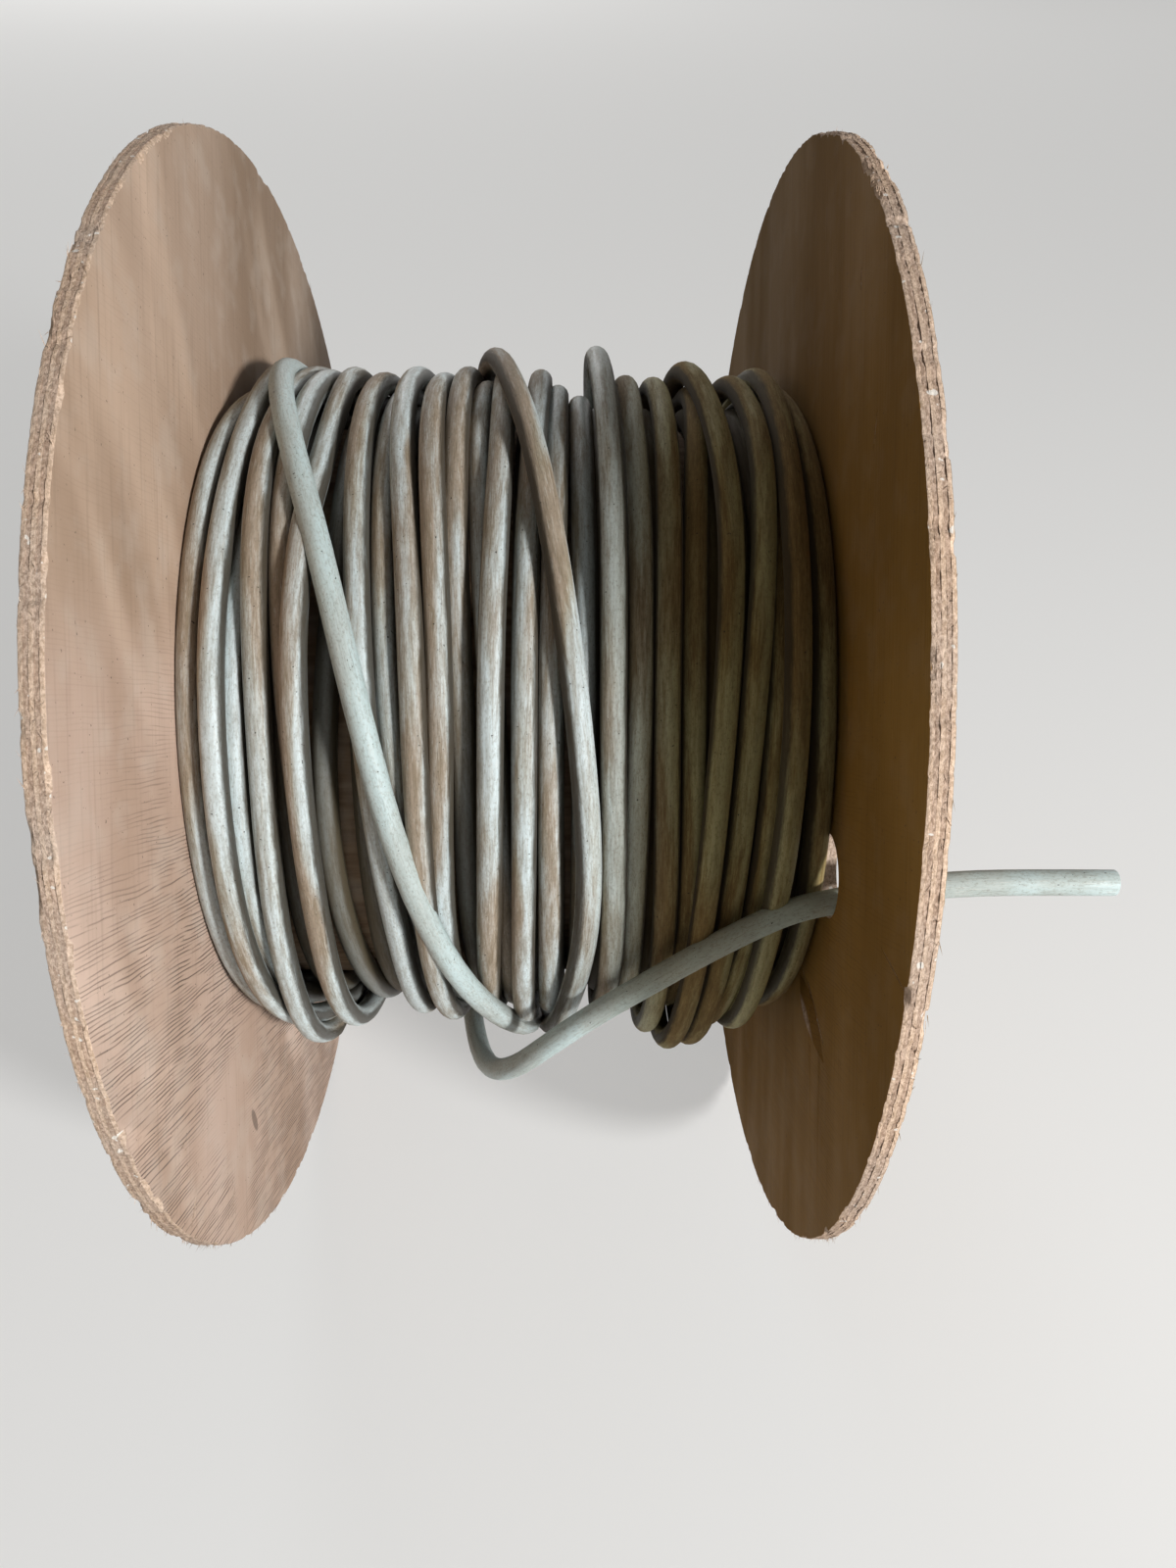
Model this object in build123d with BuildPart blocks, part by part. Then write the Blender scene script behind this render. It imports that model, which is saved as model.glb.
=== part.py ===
from build123d import *
import math
import os

# Plywood cable drum lying on the rims of its two flanges, with a cable wound on its barrel.
# The axle runs along X, the drum's front faces -Y, and the floor is Z = 0.
# The origin is on the floor, under the middle of the drum.

# Flanges: round discs of five-ply board
flange_diameter = 600.0
flange_thickness = 9.0
inner_width = 294.0
spindle_hole = 56.0

# Barrel: a plain tube whose ends sit in a round groove in each flange
barrel_diameter = 315.0
barrel_wall = 8.0
groove_depth = 3.0
groove_clearance = 0.25

# Tie rods inside the barrel, with a washer and a nut on each outer face
rod_count = 4
rod_diameter = 10.0
rod_inset = 22.0
rod_hole_clearance = 0.5
rod_end_beyond_nut = 4.0
washer_diameter = 30.0
washer_thickness = 2.5
nut_across_flats = 17.0
nut_height = 8.0
thread_clearance = 0.05

# Cable and its winding
cable_diameter = 12.0
turn_count = 24
layer_count = 2
layer_pitch = 11.2
winding_clearance = 0.3

# Hole in the right flange that the cable's end goes out through
exit_hole_diameter = 40.0
exit_hole_reach = 179.0
exit_hole_angle = 9.5

# Worked out from the sizes above
axle_height = flange_diameter / 2
flange_radius = flange_diameter / 2
inner_face = inner_width / 2
outer_face = inner_face + flange_thickness
barrel_radius = barrel_diameter / 2
barrel_bore_radius = barrel_radius - barrel_wall
rod_circle_radius = barrel_bore_radius - rod_inset
rod_hole_diameter = rod_diameter + 2 * rod_hole_clearance
nut_seat = outer_face + washer_thickness
rod_end = nut_seat + nut_height + rod_end_beyond_nut
cable_radius = cable_diameter / 2
turn_pitch = inner_width / turn_count
first_layer_radius = barrel_radius + winding_clearance + turn_pitch / 2
outer_layer_radius = first_layer_radius + (layer_count - 1) * layer_pitch

os.makedirs("parts", exist_ok=True)


def across_axle(x):
    """The plane square to the axle at x, centred on the axle: its own axes are the drum's Y and Z."""
    return Plane(origin=(x, 0, axle_height), x_dir=(0, 1, 0), z_dir=(1, 0, 0))


def save(piece, name):
    """Label a finished piece and write its file."""
    piece.part.label = name
    export_step(piece.part, f"parts/{name}.step")


# Left flange: a disc with the spindle hole, the rod holes and the barrel's groove
with BuildPart() as left_flange:
    with BuildSketch(across_axle(-outer_face)):
        Circle(flange_radius)
        Circle(spindle_hole / 2, mode=Mode.SUBTRACT)
        with PolarLocations(rod_circle_radius, rod_count, start_angle=45):
            Circle(rod_hole_diameter / 2, mode=Mode.SUBTRACT)
    extrude(amount=flange_thickness)
    with BuildSketch(across_axle(-inner_face)):
        Circle(barrel_radius + groove_clearance)
        Circle(barrel_bore_radius - groove_clearance, mode=Mode.SUBTRACT)
    extrude(amount=-groove_depth, mode=Mode.SUBTRACT)
save(left_flange, "left_flange")

# Right flange: the left one's mirror image, and the hole for the cable's end
with BuildPart() as right_flange:
    mirror(left_flange.part, about=Plane.YZ, mode=Mode.ADD)
    with BuildSketch(across_axle(inner_face)):
        with PolarLocations(exit_hole_reach, 1, start_angle=180 - exit_hole_angle):
            Circle(exit_hole_diameter / 2)
    extrude(amount=flange_thickness, mode=Mode.SUBTRACT)
save(right_flange, "right_flange")

# Barrel tube, seated on the floor of both grooves
with BuildPart() as barrel_tube:
    with BuildSketch(across_axle(-inner_face - groove_depth)):
        Circle(barrel_radius)
        Circle(barrel_bore_radius, mode=Mode.SUBTRACT)
    extrude(amount=inner_width + 2 * groove_depth)
save(barrel_tube, "barrel_tube")

# Tie rods, washers and nuts
rod_places = PolarLocations(rod_circle_radius, rod_count, start_angle=45).locations
for number, place in enumerate(rod_places, start=1):
    seat = place.position
    with BuildPart() as tie_rod:
        with BuildSketch(across_axle(-rod_end)):
            with Locations((seat.X, seat.Y)):
                Circle(rod_diameter / 2)
        extrude(amount=2 * rod_end)
    save(tie_rod, f"tie_rod_{number}")
    for side, name in ((-1, "left"), (1, "right")):
        with BuildPart() as washer:
            with BuildSketch(across_axle(side * outer_face)):
                with Locations((seat.X, seat.Y)):
                    Circle(washer_diameter / 2)
                    Circle(rod_hole_diameter / 2, mode=Mode.SUBTRACT)
            extrude(amount=side * washer_thickness)
        save(washer, f"{name}_washer_{number}")
        with BuildPart() as nut:
            with BuildSketch(across_axle(side * nut_seat)):
                with Locations((seat.X, seat.Y)):
                    RegularPolygon(nut_across_flats / 2, 6, major_radius=False)
                    Circle(rod_diameter / 2 + thread_clearance, mode=Mode.SUBTRACT)
            extrude(amount=side * nut_height)
        save(nut, f"{name}_nut_{number}")

# Winding: one turned solid round the barrel. Its section is the outline of the turns, laid side by side
# in layers, each turn an octagon whose side faces touch its neighbours and the flanges.
turn_half_width = turn_pitch / 2
turn_half_flat = turn_half_width * math.tan(math.radians(22.5))
first_turn = turn_half_width - inner_face
core_bottom = barrel_radius + winding_clearance
core_top = outer_layer_radius + turn_half_flat
with BuildPart() as cable_winding:
    with BuildSketch(Plane(origin=(0, 0, axle_height), x_dir=(1, 0, 0), z_dir=(0, -1, 0))):
        with Locations((0, (core_bottom + core_top) / 2)):
            Rectangle(-2 * first_turn, core_top - core_bottom)
        with GridLocations(turn_pitch, 0, turn_count, 1), Locations((0, outer_layer_radius)):
            RegularPolygon(turn_half_width, 8, major_radius=False, rotation=22.5)
        for layer in range(layer_count - 1):
            with Locations(
                (first_turn, first_layer_radius + layer * layer_pitch),
                (-first_turn, first_layer_radius + layer * layer_pitch),
            ):
                RegularPolygon(turn_half_width, 8, major_radius=False, rotation=22.5)
    revolve(axis=Axis((0, 0, axle_height), (1, 0, 0)))
save(cable_winding, "cable_winding")


def beside(x, reach, angle):
    """A point at x, reach mm from the axle, angle degrees up from the drum's front."""
    turned = math.radians(angle)
    return (x, -reach * math.cos(turned), axle_height + reach * math.sin(turned))


# Loose end of the cable: it leaves the winding low at the front, crosses it to the top left, goes round
# the back and under, sags at the front, and rises to the hole in the right flange and out through it.
loose_end_route = [
    beside(10, 190.5, -47),
    beside(-6, 190.7, -28),
    beside(-29, 191.5, -8),
    beside(-49, 191.5, 13),
    beside(-65, 191.5, 35),
    beside(-82, 191.5, 56),
    beside(-103, 191.5, 76),
    beside(-121, 192, 97),
    beside(-127, 192, 118),
    beside(-122, 191.5, 140),
    beside(-112, 191.5, 161),
    beside(-99, 191.5, 183),
    beside(-85, 191.5, 204),
    beside(-73, 192, 226),
    beside(-60, 193, 247),
    beside(-49, 195, 268),
    beside(-39, 200, 288),
    beside(-30, 208, 305),
    beside(-19, 214.5, 318),
    beside(-3, 213.5, 329.5),
    beside(17, 206.5, 338.5),
    beside(39, 199.5, 345),
    beside(63, 195.5, 351.5),
    beside(88, 193.3, 358),
    beside(111, 192, 363),
    beside(131, 190.5, 366.2),
    (151, -187.8, 324.2),
    (173, -187, 330),
    (205, -186, 333.3),
    (241, -186, 334),
    (277, -186, 333.5),
]


def corner_radii(points):
    """The arc at each corner of a route: 0.45 of the shorter run over the tangent of half the turn."""
    radii = []
    for before, corner, after in zip(points, points[1:], points[2:]):
        run_in = Vector(*corner) - Vector(*before)
        run_out = Vector(*after) - Vector(*corner)
        half_turn = math.radians(run_in.get_angle(run_out)) / 2
        radii.append(0.45 * min(run_in.length, run_out.length) / math.tan(half_turn))
    return radii


loose_end_radii = corner_radii(loose_end_route)
with BuildPart() as cable_loose_end:
    with BuildLine():
        loose_end_path = FilletPolyline(*loose_end_route, radius=loose_end_radii)
    with BuildSketch(Plane(origin=loose_end_path @ 0, z_dir=loose_end_path % 0)) as section:
        RegularPolygon(cable_radius, 8, major_radius=False)
    sweep(path=loose_end_path)
save(cable_loose_end, "cable_loose_end")

print("smallest arc of the loose end", round(min(loose_end_radii), 1), "mm")
print("arcs of the loose end", [round(radius) for radius in loose_end_radii])
tube_volume = section.sketch.area * loose_end_path.length
print("length of the loose end", round(loose_end_path.length, 1), "mm")
print("its volume over section times length", round(cable_loose_end.part.volume / tube_volume, 5))
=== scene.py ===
# %% [markdown]
# # A plywood cable drum and its cable
#
# The drum lies on the rims of its two flanges, the way such drums are rolled about and parked. About
# 47 m of grey cable are wound on its barrel, untidily, and the last turn has come loose: it lies slanting
# over the others, sags under the drum and leaves through a hole in the right flange.
#
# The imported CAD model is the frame. Everything here is measured in metres in that frame: the axle runs
# along X, the seen side faces -Y, and the floor is Z = 0.

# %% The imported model
import math
import random

import bpy
import numpy as np
from mathutils import Matrix, Vector, noise


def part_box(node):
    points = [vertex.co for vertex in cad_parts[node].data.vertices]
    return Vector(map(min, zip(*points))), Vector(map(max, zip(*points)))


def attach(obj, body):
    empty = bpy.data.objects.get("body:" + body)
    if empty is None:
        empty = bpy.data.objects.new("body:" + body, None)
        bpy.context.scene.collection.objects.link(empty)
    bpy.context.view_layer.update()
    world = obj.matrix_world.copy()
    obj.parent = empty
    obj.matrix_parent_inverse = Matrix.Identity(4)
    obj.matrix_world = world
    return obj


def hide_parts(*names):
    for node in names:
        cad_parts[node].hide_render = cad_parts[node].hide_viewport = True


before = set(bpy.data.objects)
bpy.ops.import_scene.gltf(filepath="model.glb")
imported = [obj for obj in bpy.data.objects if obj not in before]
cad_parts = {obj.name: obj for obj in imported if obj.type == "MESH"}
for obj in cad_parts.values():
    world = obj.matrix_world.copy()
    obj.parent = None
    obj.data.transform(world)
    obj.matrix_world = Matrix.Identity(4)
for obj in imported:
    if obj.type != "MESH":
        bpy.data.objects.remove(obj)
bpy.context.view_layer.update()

mm = 0.001

# %% [markdown]
# ## Sizes that the frame already knows
#
# The flanges, the barrel and the cable have their sizes from the CAD nodes, so nothing here has to be
# fitted by eye. Only the cable's thickness is written again, because a node's box doesn't give it.

# %% Sizes of the drum
left_low, left_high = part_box("left_flange")
right_low, right_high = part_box("right_flange")
outer_face, inner_face = right_high.x, right_low.x
flange_thickness = outer_face - inner_face
flange_radius = (left_high.z - left_low.z) / 2
axle_height = (left_high.z + left_low.z) / 2
barrel_low, barrel_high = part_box("barrel_tube")
barrel_radius = (barrel_high.z - barrel_low.z) / 2
cable_diameter = 12 * mm
cable_radius = cable_diameter / 2
print("radius of a flange", round(flange_radius, 4), "and of the barrel", round(barrel_radius, 4))
print("inner faces", round(2 * inner_face, 4), "apart")

# %% [markdown]
# ## The camera
#
# It stands in front of the drum, close, and looks down at about 40 degrees, so the flanges show as
# narrow ovals that lean apart. Its place, its three angles and its focal length were found by fitting the
# outlines of both flanges. Blender gives the sensor's width to the longer side of the picture, which is
# its height here, so the lens is worked out from the height.

# %% The camera
photo_height = 1600
camera_place = Vector((23.67, -542.11, 690.37)) * mm
camera_turn, camera_dip, camera_roll = (math.radians(angle) for angle in (-1.669, 39.853, 1.028))
focal_pixels = 1125.5

ahead = Vector((
    -math.sin(camera_turn) * math.cos(camera_dip),
    math.cos(camera_turn) * math.cos(camera_dip),
    -math.sin(camera_dip),
))
level_right = Vector((math.cos(camera_turn), math.sin(camera_turn), 0))
level_up = level_right.cross(ahead)
camera_right = math.cos(camera_roll) * level_right + math.sin(camera_roll) * level_up
camera_up = math.cos(camera_roll) * level_up - math.sin(camera_roll) * level_right

camera_data = bpy.data.cameras.new("photo_camera")
camera_data.sensor_fit = "AUTO"
camera_data.sensor_width = 36
camera_data.lens = focal_pixels * camera_data.sensor_width / photo_height
camera = bpy.data.objects.new("photo_camera", camera_data)
camera_axes = Matrix((camera_right, camera_up, -ahead)).transposed().to_4x4()
camera.matrix_world = Matrix.Translation(camera_place) @ camera_axes
bpy.context.scene.collection.objects.link(camera)
bpy.context.scene.camera = camera
print("lens", round(camera_data.lens, 2), "mm")

# %% [markdown]
# ## The cable's route: the loose end
#
# The cable is one length. Its last 1.6 m are not wound any more, and their points are listed, as in
# the CAD source. `beside` gives a point by its place along the axle, its distance from the axle and its
# angle up from the drum's front, all in mm and degrees, because that is how a coil is thought of.


# %% The loose end's points
def beside(x, reach, angle):
    """A point at x, reach mm from the axle, angle degrees up from the drum's front, in metres."""
    turned = math.radians(angle)
    return Vector((x * mm, -reach * mm * math.cos(turned), axle_height + reach * mm * math.sin(turned)))


loose_end_route = [
    beside(10, 190.5, -47),
    beside(-6, 190.7, -28),
    beside(-29, 191.5, -8),
    beside(-49, 191.5, 13),
    beside(-65, 191.5, 35),
    beside(-82, 191.5, 56),
    beside(-103, 191.5, 76),
    beside(-121, 192, 97),
    beside(-127, 192, 118),
    beside(-122, 191.5, 140),
    beside(-112, 191.5, 161),
    beside(-99, 191.5, 183),
    beside(-85, 191.5, 204),
    beside(-73, 192, 226),
    beside(-60, 193, 247),
    beside(-49, 195, 268),
    beside(-39, 200, 288),
    beside(-30, 208, 305),
    beside(-19, 214.5, 318),
    beside(-3, 213.5, 329.5),
    beside(17, 206.5, 338.5),
    beside(39, 199.5, 345),
    beside(63, 195.5, 351.5),
    beside(88, 193.3, 358),
    beside(111, 192, 363),
    beside(131, 190.5, 366.2),
    Vector((151, -187.8, 324.2)) * mm,
    Vector((173, -187, 330)) * mm,
    Vector((205, -186, 333.3)) * mm,
    Vector((241, -186, 334)) * mm,
    Vector((277, -186, 333.5)) * mm,
]
print(len(loose_end_route), "points in the loose end")

# %% [markdown]
# ## The cable's route: the turns
#
# Under the loose end the cable lies in two layers. The inner layer is tidy: turn beside turn. The outer
# turns wander, crowd each other and ride up, and that is what makes this coil look real.
#
# A coil could be pushed into shape by a physics simulation, but then nobody could choose where a turn
# goes. Here each outer turn's place along the axle is given at seven angles on the seen side, and a small
# loop works out its height: turns are dropped onto the layer below one after another, and where two are
# closer than a diameter, the later one rides up on the earlier one, as round things do.

# %% The outer turns
seen_angles = (-55, -25, 0, 25, 50, 75, 100)

# One row a turn, in winding order from the right flange to the left: its rank in the pile, where 0 lies
# lowest, its place along the axle in mm at the seen angles, and how far from the axle it is held by its
# own stiffness at the bottom and at the top, in mm, where 0 means that it simply lies on what is below.
outer_turns = [
    (1, (127, 138, 141, 139.5, 139.5, 140.5, 137), 0, 0),
    (2, (111, 116.5, 119, 128, 126, 130.5, 131), 0, 0),
    (0, (99, 106, 116.5, 116.5, 120, 126, 128.5), 188, 0),
    (2, (89.5, 99, 104.5, 106.5, 113.5, 120.5, 116), 0, 182),
    (3, (80, 87, 89, 91, 99.5, 101, 86), 0, 190),
    (0, (84, 81, 86, 82.5, 82.5, 87, 96), 0, 0),
    (1, (71, 73, 75.5, 68.5, 70.5, 74.5, 73), 191, 181),
    (1, (55, 56, 55.5, 55.5, 59, 58, 57), 0, 182),
    (2, (44, 45, 51.5, 43.5, 48, 45.5, 39), 0, 198),
    (0, (30, 31, 33, 33, 34, 33.5, 33), 0, 0),
    (1, (14, 16, 17.5, 16.5, 16.5, 19.5, 20.5), 0, 0),
    (1, (3, 1.5, 4.5, 8, 7.5, 10.5, 12.5), 0, 0),
    (0, (-6, -5.5, -4, -5.5, -10, -17.5, -20.5), 0, 178),
    (2, (-14, -15.5, -13.5, -9.5, -9, -5.5, -8.5), 0, 0),
    (0, (-20, -22.5, -23.5, -20, -23, -27, -29), 0, 171),
    (2, (-28, -30, -33.5, -32, -27, -38, -39), 0, 182),
    (2, (-37, -38.5, -40, -43, -39.5, -55, -57), 0, 0),
    (0, (-45, -43.5, -44.5, -55.5, -54, -61.5, -63.5), 0, 0),
    (2, (-53.5, -54.5, -52.5, -61.5, -65, -74.5, -73), 0, 180),
    (0, (-79, -81.5, -86.5, -89.5, -81, -80.5, -80), 0, 0),
    (1, (-90.5, -93, -90.5, -91.5, -95, -88, -89), 0, 0),
    (0, (-104, -97, -93, -95, -101, -104, -101), 0, 184),
    (3, (-121, -112, -116, -109.5, -112.5, -117, -114), 0, 0),
    (0, (-114, -120, -123.5, -119, -124.5, -117, -117), 0, 0),
    (2, (-119.5, -128.5, -131.5, -128, -132.5, -127, -128), 0, 0),
    (1, (-127, -137, -141, -141, -141, -139, -139), 0, 0),
    (4, (17, 20, 41.5, 35, 24.5, 11.5, -7), 0, 193),
]
print(len(outer_turns), "outer turns")

# %% [markdown]
# The inner layer lies turn beside turn and steps over to the next place round the back, as a wound layer
# does. Ten of its 24 places were left empty, and outer turns have sunk into them here and there.
#
# Both layers are kept in one list of points, 15 degrees apart, from the cable's inner end on: a curve
# with 24 control points a turn is round to a few hundredths of a millimetre. Between the chosen angles
# the outer turns' places follow by interpolation, and round the back, which is hidden in this view, a
# turn crosses over to where the next one starts.

# %% Places along the axle
step = 15
lowest_angle = -60  # where each outer turn starts
turn_steps = 360 // step
widest_place = inner_face - cable_radius
place_count = 24
empty_places = (2, 4, 5, 8, 9, 10, 11, 14, 18, 22)
place_pitch = 2 * widest_place / (place_count - 1)
inner_places = [number for number in range(place_count) if number not in empty_places]
inner_steps = int((len(inner_places) - 0.5) * turn_steps)
climb_step = -13  # where the cable climbs from the inner layer onto it
last_step = len(outer_turns) * turn_steps - 1
steps = np.arange(climb_step - inner_steps, last_step + 1)
angles = lowest_angle + step * steps
inner = steps < climb_step

places = np.zeros(len(steps))
for index in np.flatnonzero(inner):
    number, part = divmod(index / turn_steps, 1)
    here = inner_places[int(number)]
    after = inner_places[min(int(number) + 1, len(inner_places) - 1)]
    over = max(0, part * 4 - 3)
    places[index] = -widest_place + place_pitch * (here + (after - here) * over)

back_angle = 200  # where each turn passes the hidden back
chosen_angles = [angles[inner][-1], back_angle - 360]
chosen_places = [widest_place, 137 * mm]
for number, (_, turn_places, _, _) in enumerate(outer_turns):
    chosen_angles += [360 * number + angle for angle in seen_angles]
    chosen_places += [place * mm for place in turn_places]
    if number < len(outer_turns) - 2:
        even_place = widest_place * (1 - 2 * number / (len(outer_turns) - 1))
        next_place = outer_turns[number + 1][1][0] * mm
        chosen_angles.append(360 * number + back_angle)
        chosen_places.append(even_place / 2 + (turn_places[-1] * mm + next_place) / 4)
chosen_angles += [360 * (len(outer_turns) - 1) + angle for angle in (122, 145, back_angle)]
chosen_places += [-22 * mm, -30 * mm, -14 * mm]

wound = np.interp(angles[~inner], chosen_angles, chosen_places)
for smoothing in range(2):
    wound[1:-1] = (wound[:-2] + 2 * wound[1:-1] + wound[2:]) / 4
places[~inner] = np.clip(wound, -widest_place, widest_place)
print(inner.sum(), "points in the inner layer and", (~inner).sum(), "in the outer turns")

# %% [markdown]
# Outer turns that lie side by side make room for each other before any rides up: a pair that is a little
# closer than a diameter is pushed apart along the axle. A pair that is much closer crosses or lies one
# on the other on purpose, and is left alone.

# %% Making room
room = cable_diameter * 1.01
crossing_gap = 0.78 * room
stations = [np.flatnonzero(steps % turn_steps == station) for station in range(turn_steps)]
asked = places.copy()
for sweep in range(12):
    for members in stations:
        outer = members[~inner[members]]
        order = outer[np.argsort(places[outer])]
        gaps = np.diff(places[order])
        push = np.where((gaps > crossing_gap) & (gaps < room), (room - gaps) / 2, 0) * 0.6
        places[order[:-1]] -= push
        places[order[1:]] += push
    shift = places - asked
    shift[1:-1] = (shift[:-2] + 2 * shift[1:-1] + shift[2:]) / 4
    places = np.where(inner, asked, np.clip(asked + shift, -widest_place, widest_place))
print("turns were moved by up to", round(abs(shift).max() / mm, 1), "mm to make room")

# %% [markdown]
# Then the turns are laid at each of the 24 stations round the drum, the lowest first. A turn falls until
# it lies on the barrel or on turns that are there already, which is where two circles touch. The cable
# is stiff, so it also spans a dip that is shorter than it can bend into.

# %% Laying the turns
inner_radius = barrel_radius + cable_radius + 0.4 * mm
outer_radius = 175 * mm  # where a turn lies on the inner layer
sag = 1.5 * mm  # how far a stiff cable hangs into a dip that it spans
most_lift = 0.8 * mm
top_spread, bottom_spread = 60, 50  # degrees on both sides over which a held turn comes to rest
held = np.full(len(steps), inner_radius)
ranks = np.full(len(steps), -1)
for index in np.flatnonzero(~inner):
    number, seen_angle = divmod(angles[index] - lowest_angle, 360)
    seen_angle += lowest_angle
    if number < 0:
        ranks[index] = 0
        continue
    ranks[index], turn_places, bottom, top = outer_turns[number]
    near_top = max(0, 1 - abs(seen_angle - seen_angles[-1]) / top_spread) ** 0.7
    near_bottom = max(0, 1 - abs(seen_angle - seen_angles[0]) / bottom_spread) ** 0.7
    for reach, nearness in ((top, near_top), (bottom, near_bottom)):
        if reach and nearness:
            held[index] = max(held[index], outer_radius + (reach * mm - outer_radius) * nearness)

reaches = held.copy()
for sweep in range(5):
    for members in stations:
        laid = []
        for index in members[np.lexsort((members, ranks[members]))]:
            for other in laid:
                gap = abs(places[index] - places[other])
                if gap < room:
                    reaches[index] = max(reaches[index], reaches[other] + math.sqrt(room**2 - gap**2))
            laid.append(index)
    spanned = (reaches[:-2] + reaches[2:]) / 2 - sag
    lift = np.clip(spanned - reaches[1:-1], 0, most_lift)
    reaches[1:-1] += np.where(inner[1:-1], 0, lift)
print("outer turns reach", round(reaches[~inner].min() / mm, 1), "to", round(reaches.max() / mm, 1), "mm")

# %% [markdown]
# A curve of order 3 runs a little inside its control points, because it touches the middle of each
# straight between them. So the control points are put farther out by that share. The loose end's
# points then follow, and the route of the whole cable is complete.

# %% The whole route
spline_cut = (3 + math.cos(math.radians(step))) / 4
route = [
    beside(place / mm, reach / spline_cut / mm, angle)
    for place, reach, angle in zip(places, reaches, angles)
]
route += loose_end_route
print(len(route), "control points")

# %% [markdown]
# ## The cable
#
# The points become the control points of one NURBS curve of order 3, which follows them smoothly.
# A bevelled curve would do for a plain cord. A mesh tube is made here instead, from points read off the
# curve, because each of its vertices can then carry its own place on the cable: how far along, and where
# round the sheath. The dirt streaks follow the cable by that.


# %% A smooth line through the points
def smooth_line(name, points, resolution):
    """Points read off a NURBS curve of order 3 that has these points as its control points."""
    curve = bpy.data.curves.new(name, "CURVE")
    curve.dimensions = "3D"
    spline = curve.splines.new("NURBS")
    spline.points.add(len(points) - 1)
    for control, point in zip(spline.points, points):
        control.co = (*point, 1)
    spline.order_u = 3
    spline.use_endpoint_u = True
    spline.resolution_u = resolution
    guide = bpy.data.objects.new(name, curve)
    bpy.context.scene.collection.objects.link(guide)
    line = bpy.data.meshes.new_from_object(guide)
    found = np.array([vertex.co for vertex in line.vertices])
    bpy.data.objects.remove(guide)
    return found


cable_line = smooth_line("cable_guide", route, resolution=4)
cable_length = float(np.linalg.norm(np.diff(cable_line, axis=0), axis=1).sum())
print("cable length", round(cable_length, 3), "m in", len(cable_line), "points")

# %% [markdown]
# The tube is a row of rings of points. The first ring's direction is carried along from ring to ring with
# no more turning than the line asks for, so the sheath doesn't twist. A cable that has lain on a drum is
# pressed a little oval, and so is each ring. At the very end three smaller rings, which stand out by a
# third of a millimetre, make the sawn face with its rubbed edge.

# %% Rings of points round a line
oval_share = 0.02
oval_turning = 9  # radians a metre, along the cable
cut_face_rings = ((0.97, 0.3 * mm), (0.8, 0.35 * mm), (0.4, 0.35 * mm))  # share of the radius, how far out


def tube_rings(line, radius, sides):
    """Rings round a line, and each point's place on the cable: how far along, and two ways across."""
    run = np.diff(line, axis=0)
    along = np.concatenate(([0], np.cumsum(np.linalg.norm(run, axis=1))))
    tangents = np.gradient(line, axis=0)
    tangents /= np.linalg.norm(tangents, axis=1)[:, None]
    across = np.cross(tangents[0], (0, 0, 1))
    across /= np.linalg.norm(across)
    around = np.linspace(0, 2 * np.pi, sides, endpoint=False)
    rings, marks = [], []
    for centre, tangent, distance in zip(line, tangents, along):
        across = across - tangent * across.dot(tangent)
        across /= np.linalg.norm(across)
        other = np.cross(tangent, across)
        oval = radius * (1 + oval_share * np.cos(2 * around - oval_turning * distance))[:, None]
        outwards = np.outer(np.cos(around), across) + np.outer(np.sin(around), other)
        rings.append(centre + oval * outwards)
        mark = (np.full(sides, distance), radius * np.cos(around), radius * np.sin(around))
        marks.append(np.column_stack(mark))
    last_ring, last_mark = rings[-1], marks[-1]
    for share, bulge in cut_face_rings:
        rings.append(centre + share * (last_ring - centre) + bulge * tangent)
        marks.append(last_mark * (1, share, share))
    return rings, marks


cable_rings, cable_marks = tube_rings(cable_line, cable_radius, sides=16)
print(len(cable_rings), "rings of", len(cable_rings[0]), "points")

# %% [markdown]
# Each ring is joined to the next by four-sided faces, and each end is closed by one face. The places on
# the cable are stored as an attribute of the points, which the material can read. The cable is then
# attached to the drum and takes the place of both cable nodes, which are hidden.


# %% The cable
def mesh_piece(name, points, faces):
    """A new object in the scene, made of points and faces."""
    mesh = bpy.data.meshes.new(name)
    mesh.from_pydata(points, [], faces)
    piece = bpy.data.objects.new(name, mesh)
    bpy.context.scene.collection.objects.link(piece)
    return piece


def tube(name, rings, marks):
    """A closed mesh tube, with each point's place on the cable in the attribute sheath."""
    sides = len(rings[0])
    first = np.arange((len(rings) - 1) * sides).reshape(-1, sides)
    beside_it = np.roll(first, -1, axis=1)
    faces = np.stack((first, beside_it, beside_it + sides, first + sides), axis=2).reshape(-1, 4).tolist()
    faces.append(list(range(sides))[::-1])
    faces.append(list(range((len(rings) - 1) * sides, len(rings) * sides)))
    piece = mesh_piece(name, np.concatenate(rings).tolist(), faces)
    mark = piece.data.attributes.new("sheath", "FLOAT_VECTOR", "POINT")
    mark.data.foreach_set("vector", np.concatenate(marks).astype(np.float32).ravel())
    for polygon in piece.data.polygons:
        polygon.use_smooth = len(polygon.vertices) == 4
    return piece


cable = tube("wound_cable", cable_rings, cable_marks)
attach(cable, "root")
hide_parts("cable_winding", "cable_loose_end")
print(len(cable.data.polygons), "faces in the cable")

# %% [markdown]
# ## The flanges
#
# Each flange is a disc of five-ply board, and its sawn rim is what gives it away: five plies, every other
# one with its end grain outwards, furry where the saw tore them, with chips broken out of the thin face
# plies. A smooth cylinder with a striped picture on it would look printed on.
#
# So the disc is extruded ply by ply, and each ply has rings of points of its own round the rim. Moving a
# ply's points inwards then leaves a real step beside the next ply, as a broken veneer does.

# %% A disc of five plies
ply_count = 5
ply_thickness = flange_thickness / ply_count
glue_line = 0.04 * mm
rim_points = 1080


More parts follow.
